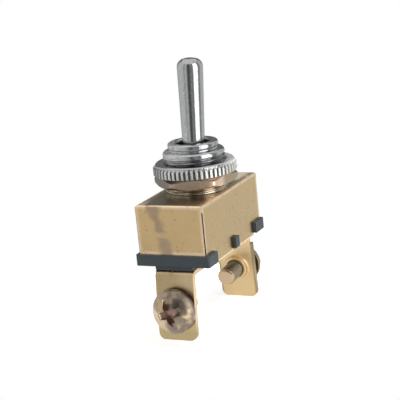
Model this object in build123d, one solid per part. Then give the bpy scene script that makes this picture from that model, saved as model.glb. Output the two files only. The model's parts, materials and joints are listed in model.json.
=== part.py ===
from build123d import *
import os
from math import cos, sin, radians, degrees, pi, sqrt, atan2

# Bat-handle toggle switch with two screw terminals.
# Millimetres. X is the long side of the housing and the way the lever swings,
# Y the short side, +Z up the mounting thread. Sizes below are measured from the
# top face of the housing; export() lowers them so that z = 0 is where the free
# thread starts above the face nut.

# Fits and clearances
RUN_GAP = 0.06          # radial gap of a pin in a moving part
PRESS_GAP = 0.02        # radial gap left where a pin is driven in
BALL_GAP = 0.08         # lever ball in its socket
THREAD_GAP = 0.05       # nuts on the thread, screws in their collars
SEAT_GAP = 0.06         # base and liner inside the housing
NOTCH_GAP = 0.08        # lock tab in its notch
CONTACT_GAP = 0.05      # between parts that meet when the contacts are closed
NOSE_GAP = 0.1          # plunger nose over the rocker at mid throw
NUT_GAP = 0.1           # face nut to the start of the free thread

# Housing, a box folded from sheet
HOUSING_L = 26.4
HOUSING_W = 13.6
HOUSING_H = 9.35
SHEET = 0.8
FOLD_R = 0.5
SEAM_W = 0.22
SEAM_TOP = 1.15
END_X = HOUSING_L / 2
SIDE_Y = HOUSING_W / 2
TAB_IN = 0.95
TAB_TO_END = 3.8
TAB_OUT = END_X - TAB_TO_END
TAB_CURL = 1.7
TAB_R = 0.75

# Moulded base
FLANGE_X = 0.4
FLANGE_Y = 0.65
FLANGE_H = 2.1
FLANGE_R = 0.35
LEG_TO_SIDE = 2.925
LEG_W = HOUSING_W - 2 * LEG_TO_SIDE
PAD_STEP = 0.125
PAD_W = LEG_W - 2 * PAD_STEP
PAD_H = 0.8
PAD_L = 7.0
PAD_IN = END_X - PAD_L
PAD_BOTTOM = HOUSING_H + FLANGE_H + PAD_H
BASE_UP = 3.75          # base inside the housing
BASE_TOP = HOUSING_H - BASE_UP
FLOOR_UP = 0.75
WELL_FLOOR = HOUSING_H - FLOOR_UP
WELL_WALL = 2.4         # well to the outside of the housing
WELL_L = HOUSING_L - 2 * WELL_WALL
WELL_W = HOUSING_W - 2 * WELL_WALL
WELL_R = 0.8

# Liner
LINER_T = 0.35

# Bushing, thread 15/32 in
THREAD_R = 11.9 / 2
GRIP_R = 5.7            # pitch radius, where the nuts are engaged
SHOULDER_Z = 7.1
SHOULDER_R = 0.75
RIM_R = 4.84
RIM_Z = 9.3
RIM_EDGE = 0.45
RIM_HOLE_R = 3.2
RIM_LIP = 0.3
NOTCH_R = 4.55
NOTCH_Z0 = 7.75
NOTCH_Z1 = 8.1
SPIGOT_R = 5.15
FLARE_R = 5.5
FLARE_T = 0.7

# Nuts
HEX_AF = 14.29
HEX_Z0 = 1.25
HEX_T = 1.95
HEX_TURN = 49.0
HEX_CHAMFER = 0.55
KNURL_R = 8.0
KNURL_ROOT_R = 7.62
KNURL_TEETH = 54
KNURL_T = 2.4
KNURL_TOP_R = 7.1
KNURL_BOTTOM = 0.25     # height of the lower chamfer
KNURL_CROWN = 0.8       # height of the rounded upper edge
NUT_SEAT = HEX_Z0 + HEX_T
NUT_TOP = NUT_SEAT + KNURL_T
FREE_Z = NUT_TOP + NUT_GAP

# Lever
PIVOT_Z = 4.9
THROW = 6.5             # lean each side of upright
BALL_R = 4.0
BAT_TIP = 20.0          # pivot to the tip
BAT_TOP_R = 2.5
BAT_NECK_R = 2.12
BAT_SHOULDER = 1.5
BAT_CROWN = 0.4
PIN_R = 0.8
GROOVE_REACH = 4.75     # pivot pin grooves in the bushing wall

# Rocker and cradle
ROCKER_UP = 3.15        # rocker axis above the housing's lower edge
ROCKER_Z = ROCKER_UP - HOUSING_H
ROCKER_TILT = THROW     # each side of level
ROCKER_H = 1.6          # axis to the top face
ROCKER_T = 0.8
ROCKER_W = 3.8
ROCKER_PIN_R = 0.7
EAR_R = 1.25
EAR_T = 0.8
CHEEK_GAP = 0.2
CHEEK_T = 0.7
CHEEK_R = 1.6
STRIP_T = 0.7

# Contacts
BUTTON_IN = 8.0
BUTTON_X = END_X - BUTTON_IN
BUTTON_R = 1.4
BUTTON_T = 0.7
BUTTON_FACE_R = 0.84
BUTTON_SHANK_R = 0.7
ROCKER_IN = 7.2
ROCKER_NEAR = END_X - ROCKER_IN
BUTTON_RIM = 1.5        # rocker beyond the button's axis
ROCKER_FAR = BUTTON_X + BUTTON_RIM

# Tail of the lever, with the plunger and its spring
NOSE_R = 1.15
NOSE_TIP = PIVOT_Z - ROCKER_Z - ROCKER_H - NOSE_GAP
TAIL_R = 2.1
NOSE_OUT = 2.8          # nose beyond the tail
TAIL_END = NOSE_TIP - NOSE_OUT
TAIL_BORE_R = 1.45
TAIL_BORE_TOP = 1.45
PLUNGER_R = TAIL_BORE_R - RUN_GAP
PLUNGER_IN = 2.2        # plunger inside the tail
PLUNGER_TOP = TAIL_END - PLUNGER_IN
WIRE_R = 0.18
COIL_R = 1.05
COIL_TURNS = 3.0

# Terminals
LEG_T = 1.0
LEG_FOOT = 6.8
LEG_IN = END_X - LEG_FOOT
BEND_R = 0.4            # inside of the bend
NEAR_OUT = 0.4          # outer face beyond the housing
NEAR_X = END_X + NEAR_OUT
NEAR_L = 13.2
NEAR_BOTTOM = PAD_BOTTOM + NEAR_L
NEAR_SPLAY = 4.0
FAR_OUT = 2.3
FAR_X = END_X + FAR_OUT
FAR_L = 14.65
FAR_BOTTOM = PAD_BOTTOM + FAR_L
FAR_SPLAY = 4.0
NECK_STEP = 0.625
FAR_NECK_W = LEG_W - 2 * NECK_STEP
NECK_L = 3.05
FAR_NECK_BOTTOM = PAD_BOTTOM + NECK_L
LEG_CORNER = 1.35
LEG_IN_CORNER = 0.9
RIVET_IN = 4.6
RIVET_X = END_X - RIVET_IN
RIVET_R = 1.0
RIVET_HEAD_R = 1.7
RIVET_HEAD_T = 0.6

# Terminal screws, 6-32
SCREW_R = 1.75
SCREW_BELOW_NEAR = 7.35  # bend top to the screw axis
SCREW_BELOW_FAR = 8.2
HEAD_OVER = 0.325        # screw head beyond each side of the leg
HEAD_R = LEG_W / 2 + HEAD_OVER
HEAD_H = 3.1
HEAD_RIM = 0.9
SHANK_REACH_NEAR = 5.0   # shank beyond the inner face of the leg
SHANK_REACH_FAR = 6.1
BACKED_OFF_NEAR = 0.45   # head to the leg, room for a wire
BACKED_OFF_FAR = 0.9
SHANK_CHAMFER = 0.4
COLLAR_R = 2.45
COLLAR_L = 1.2
RECESS_ARM = 1.25
RECESS_L = 4.3
RECESS_DEPTH = 1.6
SLOT_W = 1.0
SLOT_DEPTH = 1.1
RECESS_TURN = 17.0


def disc(r, z0, z1, x=0.0, y=0.0):
    return Pos(x, y, z0) * extrude(Circle(r), z1 - z0)


def block(x0, x1, y0, y1, z0, z1):
    body = Box(x1 - x0, y1 - y0, z1 - z0)
    return Pos((x0 + x1) / 2, (y0 + y1) / 2, (z0 + z1) / 2) * body


def on_arc(cx, cz, r, a):
    return (cx + r * cos(radians(a)), cz + r * sin(radians(a)))


def arc_to(cx, cz, r, a0, a1):
    """Arc step of an outline: a point half way and the end, in one tuple."""
    return on_arc(cx, cz, r, (a0 + a1) / 2) + on_arc(cx, cz, r, a1)


def face_of(path, y=0.0):
    """Face in the XZ plane. A step is a point (x, z) or an arc from arc_to()."""
    edges = []
    here = path[0]
    for step in path[1:] + [path[0]]:
        end = step[-2:]
        start_at = (here[0], y, here[1])
        end_at = (end[0], y, end[1])
        if len(step) == 4:
            edges.append(ThreePointArc(start_at, (step[0], y, step[1]), end_at))
        else:
            edges.append(Line(start_at, end_at))
        here = end
    return make_face(edges)


def turned(path):
    return revolve(face_of(path), Axis.Z)


def rod_y(r, length, x, z):
    return Pos(x, 0, z) * Rot(90, 0, 0) * Cylinder(r, length)


def leaned(shape):
    """Turn a part of the lever from upright to its resting lean towards +X."""
    return Pos(0, 0, PIVOT_Z) * Rot(0, THROW, 0) * shape


def rocked(shape):
    """Turn a part of the rocker from level to its resting tilt, +X end up."""
    return Pos(0, 0, ROCKER_Z) * Rot(0, -ROCKER_TILT, 0) * shape


def housing():
    z_low = -HOUSING_H
    outer = block(-END_X, END_X, -SIDE_Y, SIDE_Y, z_low, 0)
    outer = fillet(outer.edges().group_by(Axis.Z)[-1], FOLD_R)
    inner = block(-END_X + SHEET, END_X - SHEET, -SIDE_Y + SHEET, SIDE_Y - SHEET, z_low, -SHEET)
    shell = outer - inner - disc(SPIGOT_R, -2 * SHEET, SHEET)
    tab_low = z_low - FLANGE_H - SHEET
    for sx in (-1, 1):
        for sy in (-1, 1):
            x0, x1 = sorted((sx * TAB_IN, sx * TAB_OUT))
            y0, y1 = sorted((sy * (SIDE_Y - SHEET), sy * SIDE_Y))
            c0, c1 = sorted((sy * (SIDE_Y - TAB_CURL), sy * SIDE_Y))
            tab = block(x0, x1, y0, y1, tab_low, z_low)
            tab = tab + block(x0, x1, c0, c1, tab_low, tab_low + SHEET)
            low = tab.edges().filter_by(Axis.X).group_by(Axis.Z)[0]
            tab = fillet(low.sort_by(Axis.Y)[-1 if sy > 0 else 0], TAB_R)
            shell = shell + tab
            seam = Rot(0, 0, 45 * sx * sy) * Box(2.6, SEAM_W, HOUSING_H)
            shell = shell - Pos(sx * (END_X - SHEET / 2), sy * (SIDE_Y - SHEET / 2),
                                -SEAM_TOP - HOUSING_H / 2) * seam
    return shell


def liner():
    x = END_X - SHEET - SEAT_GAP
    y = SIDE_Y - SHEET - SEAT_GAP
    top = -SHEET - SEAT_GAP
    sleeve = block(-x, x, -y, y, -BASE_TOP, top)
    return sleeve - block(-x + LINER_T, x - LINER_T, -y + LINER_T, y - LINER_T, -BASE_TOP - 1, top + 1)


def base():
    bottom = -HOUSING_H - FLANGE_H
    body = block(-END_X - FLANGE_X, END_X + FLANGE_X, -SIDE_Y - FLANGE_Y, SIDE_Y + FLANGE_Y,
                 bottom, -HOUSING_H)
    body = fillet(body.edges().filter_by(Axis.Z), FLANGE_R)
    for sy in (-1, 1):
        for sx in (-1, 1):
            x0, x1 = sorted((sx * (TAB_IN - NOTCH_GAP), sx * (TAB_OUT + NOTCH_GAP)))
            y0, y1 = sorted((sy * (SIDE_Y - SHEET - SEAT_GAP), sy * (SIDE_Y + FLANGE_Y + 1)))
            body = body - block(x0, x1, y0, y1, bottom - 1, -HOUSING_H + 1)
    x = END_X - SHEET - SEAT_GAP
    y = SIDE_Y - SHEET - SEAT_GAP
    body = body + block(-x, x, -y, y, -HOUSING_H, -BASE_TOP)
    for sx in (-1, 1):
        x0, x1 = sorted((sx * PAD_IN, sx * END_X))
        body = body + block(x0, x1, -PAD_W / 2, PAD_W / 2, -PAD_BOTTOM, bottom)
    well = block(-WELL_L / 2, WELL_L / 2, -WELL_W / 2, WELL_W / 2, -WELL_FLOOR, -BASE_TOP + 1)
    body = body - fillet(well.edges().filter_by(Axis.Z), WELL_R)
    # ledge that stops the near end of the rocker
    a = radians(ROCKER_TILT)
    rest_z = ROCKER_Z - ROCKER_NEAR * sin(a) + (ROCKER_H - ROCKER_T) * cos(a)
    body = body + block(-ROCKER_NEAR - 0.1, -ROCKER_NEAR + 0.9, -WELL_W / 2, WELL_W / 2,
                        -WELL_FLOOR + STRIP_T, rest_z - CONTACT_GAP)
    for sx in (-1, 1):
        body = body - disc(RIVET_R + PRESS_GAP, -PAD_BOTTOM - 1, 0, sx * RIVET_X)
    return body


def bushing():
    bore = BALL_R + BALL_GAP
    socket_a = degrees(atan2(sqrt(bore ** 2 - RIM_HOLE_R ** 2), RIM_HOLE_R))
    spigot = SPIGOT_R - PRESS_GAP
    body = turned([
        (bore, -SHEET - FLARE_T), (FLARE_R, -SHEET - FLARE_T), (FLARE_R, -SHEET),
        (spigot, -SHEET), (spigot, 0), (THREAD_R, 0),
        (THREAD_R, HEX_Z0), (GRIP_R, HEX_Z0), (GRIP_R, FREE_Z), (THREAD_R, FREE_Z),
        (THREAD_R, SHOULDER_Z), arc_to(THREAD_R - SHOULDER_R, SHOULDER_Z, SHOULDER_R, 0, 75),
        (NOTCH_R, NOTCH_Z0), (NOTCH_R, NOTCH_Z1), (RIM_R, NOTCH_Z1 + 0.1),
        (RIM_R, RIM_Z - RIM_EDGE), arc_to(RIM_R - RIM_EDGE, RIM_Z - RIM_EDGE, RIM_EDGE, 0, 90),
        (RIM_HOLE_R + RIM_LIP, RIM_Z), (RIM_HOLE_R, RIM_Z - RIM_LIP),
        on_arc(0, PIVOT_Z, bore, socket_a), arc_to(0, PIVOT_Z, bore, socket_a, 0)])
    half = PIN_R + RUN_GAP
    groove = block(-half, half, -GROOVE_REACH, GROOVE_REACH, -SHEET - FLARE_T - 1, PIVOT_Z)
    return body - groove - rod_y(half, 2 * GROOVE_REACH, 0, PIVOT_Z)


def hex_nut():
    across = HEX_AF / 2 / cos(pi / 6)
    prism = Rot(0, 0, HEX_TURN) * extrude(RegularPolygon(across, 6), HEX_T)
    face_r = HEX_AF / 2 - 0.15
    wide = across + 0.05
    outer = turned([(0, 0), (face_r, 0), (wide, HEX_CHAMFER), (wide, HEX_T - HEX_CHAMFER),
                    (face_r, HEX_T), (0, HEX_T)])
    return Pos(0, 0, HEX_Z0) * ((prism & outer) - disc(GRIP_R + THREAD_GAP, -1, HEX_T + 1))


def knurled_nut():
    pitch = 2 * pi / KNURL_TEETH
    points = []
    for i in range(KNURL_TEETH):
        for part, r in ((0.0, KNURL_ROOT_R), (0.34, KNURL_R), (0.66, KNURL_R)):
            points.append((r * cos(pitch * (i + part)), r * sin(pitch * (i + part))))
    teeth = extrude(make_face(Polyline(*points, close=True)), KNURL_T)
    wide = KNURL_R + 0.02
    under = KNURL_ROOT_R - 0.02
    outer = turned([(0, 0), (under, 0), (wide, KNURL_BOTTOM), (wide, KNURL_T - KNURL_CROWN),
                    (under, KNURL_T - KNURL_CROWN / 2), (KNURL_TOP_R, KNURL_T), (0, KNURL_T)])
    body = (teeth & outer) - disc(GRIP_R + THREAD_GAP, -1, KNURL_T + 1)
    # countersink of the thread
    body = body - turned([(0, KNURL_T - 0.3), (THREAD_R + 0.35, KNURL_T + 0.01), (0, KNURL_T + 0.01)])
    return Pos(0, 0, NUT_SEAT) * body


def lever():
    neck_a = degrees(atan2(sqrt(BALL_R ** 2 - BAT_NECK_R ** 2), BAT_NECK_R))
    tail_a = -degrees(atan2(sqrt(BALL_R ** 2 - TAIL_R ** 2), TAIL_R))
    top = (BAT_TOP_R - BAT_SHOULDER, BAT_TIP - BAT_CROWN - BAT_SHOULDER * sin(radians(75)))
    shoulder_r = on_arc(*top, BAT_SHOULDER, 75)[0]
    crown = (shoulder_r ** 2 + BAT_CROWN ** 2) / (2 * BAT_CROWN)
    crown_a = degrees(atan2(crown - BAT_CROWN, shoulder_r))
    shape = turned([
        (0, -TAIL_BORE_TOP), (TAIL_BORE_R, -TAIL_BORE_TOP), (TAIL_BORE_R, -TAIL_END),
        (TAIL_R, -TAIL_END), on_arc(0, 0, BALL_R, tail_a), arc_to(0, 0, BALL_R, tail_a, neck_a),
        on_arc(*top, BAT_SHOULDER, 8), arc_to(*top, BAT_SHOULDER, 8, 75),
        arc_to(0, BAT_TIP - crown, crown, crown_a, 90)])
    return leaned(shape - rod_y(PIN_R + PRESS_GAP, 2 * BALL_R + 2, 0, 0))


def pivot_pin():
    return rod_y(PIN_R, 2 * (GROOVE_REACH - RUN_GAP), 0, PIVOT_Z)


def plunger():
    nose_z = -NOSE_TIP + NOSE_R
    return leaned(turned([
        (0, -PLUNGER_TOP), (PLUNGER_R, -PLUNGER_TOP), (PLUNGER_R, -TAIL_END - 0.45),
        (NOSE_R, -TAIL_END - 0.9), (NOSE_R, nose_z), arc_to(0, nose_z, NOSE_R, 0, -90)]))


def lever_spring():
    low = -PLUNGER_TOP + WIRE_R
    high = -TAIL_BORE_TOP - WIRE_R
    path = Helix((high - low) / COIL_TURNS, high - low, COIL_R, center=(0, 0, low))
    section = Plane(origin=path @ 0, z_dir=path % 0) * Circle(WIRE_R)
    return leaned(sweep(section, path))


def rocker():
    z1 = ROCKER_H
    z0 = ROCKER_H - ROCKER_T
    side = ROCKER_W / 2
    plate = block(-ROCKER_NEAR, ROCKER_FAR, -side, side, z0, z1)
    plate = fillet(plate.edges().filter_by(Axis.Z), 0.6)
    ear = rod_y(EAR_R, ROCKER_W, 0, 0) + block(-EAR_R, EAR_R, -side, side, 0, z0)
    ear = ear - block(-EAR_R - 1, EAR_R + 1, -side + EAR_T, side - EAR_T, -EAR_R - 1, z0)
    body = plate + ear - rod_y(ROCKER_PIN_R + PRESS_GAP, ROCKER_W + 2, 0, 0)
    return rocked(body - disc(BUTTON_SHANK_R + PRESS_GAP, z0 - 1, z1 + 1, BUTTON_X))


def rocker_pin():
    return rocked(rod_y(ROCKER_PIN_R, ROCKER_W + 2 * (CHEEK_GAP + CHEEK_T), 0, 0))


def rocker_contact():
    z0 = ROCKER_H - ROCKER_T
    head = turned([(0, z0 - BUTTON_T), (BUTTON_FACE_R, z0 - BUTTON_T), (BUTTON_R, z0 - BUTTON_T + 0.25),
                   (BUTTON_R, z0), (BUTTON_SHANK_R, z0), (BUTTON_SHANK_R, ROCKER_H),
                   (BUTTON_SHANK_R + 0.3, ROCKER_H), (BUTTON_SHANK_R + 0.15, ROCKER_H + 0.25),
                   (0, ROCKER_H + 0.25)])
    return rocked(Pos(BUTTON_X, 0, 0) * head)


def fulcrum():
    y_in = ROCKER_W / 2 + CHEEK_GAP
    y_out = y_in + CHEEK_T
    z0 = -WELL_FLOOR
    arm = block(-RIVET_X - RIVET_HEAD_R - 0.2, 0, -ROCKER_W / 2, ROCKER_W / 2, z0, z0 + STRIP_T)
    arm = fillet(arm.edges().filter_by(Axis.Z).group_by(Axis.X)[0], 0.7)
    body = arm + block(-CHEEK_R, CHEEK_R, -y_out, y_out, z0, z0 + STRIP_T)
    for sy in (-1, 1):
        y0, y1 = sorted((sy * y_in, sy * y_out))
        body = body + block(-CHEEK_R, CHEEK_R, y0, y1, z0, ROCKER_Z)
        body = body + Pos(0, (y0 + y1) / 2, ROCKER_Z) * Rot(90, 0, 0) * Cylinder(CHEEK_R, CHEEK_T)
    body = body - rod_y(ROCKER_PIN_R + RUN_GAP, 2 * y_out + 2, 0, ROCKER_Z)
    return body - disc(RIVET_R + PRESS_GAP, z0 - 1, z0 + 2, -RIVET_X)


def button_low():
    """Height of the moving contact's lowest point when the contacts are closed."""
    a = radians(ROCKER_TILT)
    drop = ROCKER_H - ROCKER_T - BUTTON_T
    face = ROCKER_Z - (BUTTON_X + BUTTON_FACE_R) * sin(a) + drop * cos(a)
    edge = ROCKER_Z - (BUTTON_X + BUTTON_R) * sin(a) + (drop + 0.25) * cos(a)
    return min(face, edge)


def contact_strip():
    z0 = -WELL_FLOOR
    strip = block(BUTTON_X - BUTTON_R - 0.3, RIVET_X + RIVET_HEAD_R + 0.2,
                  -ROCKER_W / 2, ROCKER_W / 2, z0, z0 + STRIP_T)
    strip = fillet(strip.edges().filter_by(Axis.Z), 0.6)
    strip = strip - disc(BUTTON_SHANK_R + PRESS_GAP, z0 - 1, z0 + 2, BUTTON_X)
    return strip - disc(RIVET_R + PRESS_GAP, z0 - 1, z0 + 2, RIVET_X)


def fixed_contact():
    z0 = -WELL_FLOOR
    z1 = z0 + STRIP_T
    top = button_low() - CONTACT_GAP
    return Pos(BUTTON_X, 0, 0) * turned([(0, z0), (BUTTON_SHANK_R, z0), (BUTTON_SHANK_R, z1),
                                         (BUTTON_R, z1), (BUTTON_R, top - 0.15),
                                         (BUTTON_R - 0.2, top), (0, top)])


def rivet(x):
    z_top = -WELL_FLOOR + STRIP_T
    z_low = -PAD_BOTTOM - LEG_T
    shape = turned([(0, z_low - RIVET_HEAD_T), (RIVET_HEAD_R - 0.4, z_low - RIVET_HEAD_T),
                    (RIVET_HEAD_R, z_low - 0.2), (RIVET_HEAD_R, z_low), (RIVET_R, z_low),
                    (RIVET_R, z_top), (RIVET_HEAD_R, z_top), (RIVET_HEAD_R, z_top + 0.2),
                    (RIVET_HEAD_R - 0.4, z_top + RIVET_HEAD_T), (0, z_top + RIVET_HEAD_T)])
    return Pos(x, 0, 0) * shape


def terminal(outer_x, bottom, splay, screw_below, neck_w, neck_bottom):
    """Bent strip for the +X end: a leg under the pad, then a leg going down."""
    top = -PAD_BOTTOM
    r_out = BEND_R + LEG_T
    a = radians(splay)
    cx = outer_x - r_out
    cz = top - r_out
    down = (sin(a), -cos(a))
    out_end = on_arc(cx, cz, r_out, splay)
    in_end = on_arc(cx, cz, BEND_R, splay)
    run = (out_end[1] + bottom) / cos(a)
    strip = extrude(face_of([
        (LEG_IN, top), (cx, top), arc_to(cx, cz, r_out, 90, splay),
        (out_end[0] + down[0] * run, out_end[1] + down[1] * run),
        (in_end[0] + down[0] * run, in_end[1] + down[1] * run),
        in_end, arc_to(cx, cz, BEND_R, splay, 90), (LEG_IN, top - LEG_T)], -LEG_W / 2),
        amount=LEG_W, dir=(0, 1, 0))
    low = strip.edges().filter_by(lambda e: abs(e.center().Z + bottom) < 0.3 and e.length < LEG_T * 1.2)
    strip = fillet(low, LEG_CORNER)
    strip = fillet(strip.edges().filter_by(Axis.Z).group_by(Axis.X)[0], LEG_IN_CORNER)
    if neck_w < LEG_W:
        for sy in (-1, 1):
            y0, y1 = sorted((sy * neck_w / 2, sy * (LEG_W / 2 + 1)))
            strip = strip - block(END_X - 0.25, outer_x + 3, y0, y1, -neck_bottom, top + 1)
    # the frame of the screw: on the outer face, X outwards
    reach = (screw_below - (top - out_end[1])) / cos(a)
    seat = Pos(out_end[0] + down[0] * reach, 0, out_end[1] + down[1] * reach) * Rot(0, 90 - splay, 0)
    collar = seat * disc(COLLAR_R, -LEG_T - COLLAR_L, -LEG_T / 2)
    collar = fillet(collar.edges().group_by(Axis.X)[0], 0.3)
    body = strip + collar - seat * disc(SCREW_R + THREAD_GAP, -LEG_T - COLLAR_L - 1, 1)
    return body - disc(RIVET_R + PRESS_GAP, top - LEG_T - 1, top + 1, RIVET_X), seat


def screw(seat, backed_off, shank_reach):
    shank_end = -backed_off - LEG_T - shank_reach
    dome_h = HEAD_H - HEAD_RIM
    crown = (HEAD_R ** 2 + dome_h ** 2) / (2 * dome_h)
    half = degrees(atan2(HEAD_R, crown - dome_h))
    body = turned([
        (0, shank_end), (SCREW_R - SHANK_CHAMFER, shank_end), (SCREW_R, shank_end + SHANK_CHAMFER),
        (SCREW_R, 0), (HEAD_R - 0.15, 0), (HEAD_R, 0.15), (HEAD_R, HEAD_RIM),
        arc_to(0, HEAD_H - crown, crown, 90 - half, 90)])
    arm = Box(RECESS_L, RECESS_ARM, 2 * RECESS_DEPTH)
    arm = chamfer(arm.faces().sort_by(Axis.Z)[0].edges().filter_by(Axis.Y), 0.9)
    cross = arm + Rot(0, 0, 90) * arm
    slot = Box(3 * HEAD_R, SLOT_W, 2 * SLOT_DEPTH)
    cut = Pos(0, 0, HEAD_H) * Rot(0, 0, 90 - RECESS_TURN) * (cross + slot)
    return seat * Pos(0, 0, backed_off) * (body - cut)


def export(shape, name):
    solid = Pos(0, 0, -FREE_Z) * shape
    export_step(solid, "parts/" + name + ".step")


def main():
    os.makedirs("parts", exist_ok=True)
    near, near_seat = terminal(NEAR_X, NEAR_BOTTOM, NEAR_SPLAY, SCREW_BELOW_NEAR, LEG_W, 0.0)
    far, far_seat = terminal(FAR_X, FAR_BOTTOM, FAR_SPLAY, SCREW_BELOW_FAR,
                             FAR_NECK_W, FAR_NECK_BOTTOM)
    half_turn = Rot(0, 0, 180)
    export(housing(), "housing")
    export(liner(), "liner")
    export(base(), "base")
    export(bushing(), "bushing")
    export(hex_nut(), "hex_nut")
    export(knurled_nut(), "knurled_nut")
    export(lever(), "lever")
    export(pivot_pin(), "pivot_pin")
    export(lever_spring(), "lever_spring")
    export(plunger(), "plunger")
    export(rocker(), "rocker")
    export(rocker_pin(), "rocker_pin")
    export(rocker_contact(), "rocker_contact")
    export(fulcrum(), "fulcrum")
    export(contact_strip(), "contact_strip")
    export(fixed_contact(), "fixed_contact")
    export(rivet(-RIVET_X), "near_rivet")
    export(rivet(RIVET_X), "far_rivet")
    export(half_turn * near, "near_terminal")
    export(far, "far_terminal")
    export(half_turn * screw(near_seat, BACKED_OFF_NEAR, SHANK_REACH_NEAR), "near_screw")
    export(screw(far_seat, BACKED_OFF_FAR, SHANK_REACH_FAR), "far_screw")


main()
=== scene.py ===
import json
from math import cos, pi, radians, sin

import bpy
import numpy as np
from mathutils import Matrix, Vector


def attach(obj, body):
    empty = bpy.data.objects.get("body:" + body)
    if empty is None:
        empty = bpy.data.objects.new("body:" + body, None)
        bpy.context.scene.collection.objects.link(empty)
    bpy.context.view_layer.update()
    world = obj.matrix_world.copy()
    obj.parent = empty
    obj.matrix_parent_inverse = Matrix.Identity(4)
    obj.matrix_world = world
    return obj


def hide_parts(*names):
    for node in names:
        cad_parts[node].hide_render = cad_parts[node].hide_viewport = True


# Toggle switch: a bat handle in a threaded bushing, two nuts, a folded housing,
# a moulded base and two screw terminals. The numbers below are millimetres from
# the top face of the housing; placed() turns them into metres in the part's frame.

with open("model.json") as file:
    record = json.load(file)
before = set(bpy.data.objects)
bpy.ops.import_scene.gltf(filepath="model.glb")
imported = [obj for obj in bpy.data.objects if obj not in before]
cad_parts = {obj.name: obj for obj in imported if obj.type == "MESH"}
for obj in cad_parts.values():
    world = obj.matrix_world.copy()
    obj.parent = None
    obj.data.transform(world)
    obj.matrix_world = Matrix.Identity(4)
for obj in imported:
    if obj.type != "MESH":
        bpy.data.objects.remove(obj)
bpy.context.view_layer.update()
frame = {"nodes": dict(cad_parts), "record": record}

TAU = 2 * pi
ORIGIN_Z = 5.7
HOUSING_END = 13.2
HOUSING_SIDE = 6.8
HOUSING_LOW = -9.35

THREAD_R = 5.95
THREAD_PITCH = 0.794
NUT_HOLE_R = 5.8
SHOULDER_Z = 7.0
RIM_Z = 9.28
RIM_HOLE_R = 3.2
HEX_LOW = 1.25
HEX_HALF = 14.29 / 2
HEX_TURN = radians(49.0)
NUT_SEAT = 3.2
NUT_TOP = 5.6
KNURL_TEETH = 54
CREST_R = 8.0
ROOT_R = 7.56

PIVOT = np.array([0.0, 0.0, 4.9])
THROW = radians(6.5)
BALL_R = 4.0
BALL_GAP = 0.08

PAD_BOTTOM = 12.25
LEG_T = 1.0
LEG_HALF = 3.875
LEG_BEND = 0.4
SPLAY = radians(4.0)
SCREW_TURN = radians(17.0)


def placed(points):
    """Millimetres from the housing's top face to metres from the start of the free thread."""
    out = np.asarray(points, float).reshape(-1, 3).copy()
    out[:, 2] -= ORIGIN_Z
    return out / 1000.0


def solid_from_grid(name, grid, wrap_rows=False, start_pole=None, end_pole=None, crease=38.0):
    """Mesh from an (m, n, 3) grid whose columns run round and join up.

    Rows are joined in order, and the last to the first where wrap_rows is set.
    A pole is one point that closes the first or the last row with a fan.
    """
    m, n = grid.shape[:2]
    verts = grid.reshape(-1, 3)
    r, c = np.meshgrid(np.arange(m if wrap_rows else m - 1), np.arange(n), indexing="ij")
    r2 = (r + 1) % m
    c2 = (c + 1) % n
    quads = np.stack([r * n + c, r * n + c2, r2 * n + c2, r2 * n + c], axis=-1).reshape(-1, 4)
    loops = [quads.reshape(-1)]
    sizes = [np.full(len(quads), 4)]
    poles = []
    around = np.arange(n)
    after = (around + 1) % n
    last = (m - 1) * n
    for pole, first, second in ((start_pole, after, around), (end_pole, last + around, last + after)):
        if pole is not None:
            tip = np.full(n, len(verts) + len(poles))
            poles.append(pole)
            loops.append(np.stack([tip, first, second], axis=-1).reshape(-1))
            sizes.append(np.full(n, 3))
    if poles:
        verts = np.vstack([verts, np.array(poles, float)])
    return mesh_piece(name, verts, np.concatenate(loops), np.concatenate(sizes), crease)


def mesh_piece(name, verts, loops, sizes, crease=38.0):
    """Mesh object from vertex places, the corner list and the corners per face."""
    mesh = bpy.data.meshes.new(name)
    mesh.vertices.add(len(verts))
    mesh.vertices.foreach_set("co", placed(verts).reshape(-1))
    mesh.loops.add(len(loops))
    mesh.loops.foreach_set("vertex_index", loops.astype(np.int32))
    starts = np.concatenate([[0], np.cumsum(sizes)[:-1]]).astype(np.int32)
    mesh.polygons.add(len(sizes))
    mesh.polygons.foreach_set("loop_start", starts)
    mesh.update(calc_edges=True)
    mesh.validate()
    mesh.polygons.foreach_set("use_smooth", np.ones(len(mesh.polygons), bool))
    mesh.set_sharp_from_angle(angle=radians(crease))
    obj = bpy.data.objects.new(name, mesh)
    bpy.context.scene.collection.objects.link(obj)
    return obj


def polished(path, step):
    """Points along a polyline of (radius, height), no two further apart than step."""
    path = np.asarray(path, float)
    out = [path[:1]]
    for a, b in zip(path[:-1], path[1:]):
        n = max(1, int(np.ceil(np.hypot(*(b - a)) / step)))
        t = np.linspace(0, 1, n + 1)[1:, None]
        out.append(a + (b - a) * t)
    return np.vstack(out)


def arc(cx, cz, r, a0, a1, n):
    """n + 1 points of a circle's arc, angles in degrees."""
    a = np.radians(np.linspace(a0, a1, n + 1))
    return np.stack([cx + r * np.cos(a), cz + r * np.sin(a)], axis=1)


def chain(*parts):
    """One list of (radius, height) from points and arcs in turn."""
    return np.vstack([np.asarray(p, float).reshape(-1, 2) for p in parts])


def spun(profile, n, radius_of=None):
    """Grid of a profile of (radius, height) turned round Z, columns counter-clockwise.

    radius_of(radius, height, angle) may change the radius point by point.
    """
    profile = np.asarray(profile, float)
    ang = np.linspace(0, TAU, n, endpoint=False)
    r = np.repeat(profile[:, :1], n, axis=1)
    z = np.repeat(profile[:, 1:], n, axis=1)
    a = np.repeat(ang[None, :], len(profile), axis=0)
    if radius_of is not None:
        r = radius_of(r, z, a)
    return np.stack([r * np.cos(a), r * np.sin(a), z], axis=-1)


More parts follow.
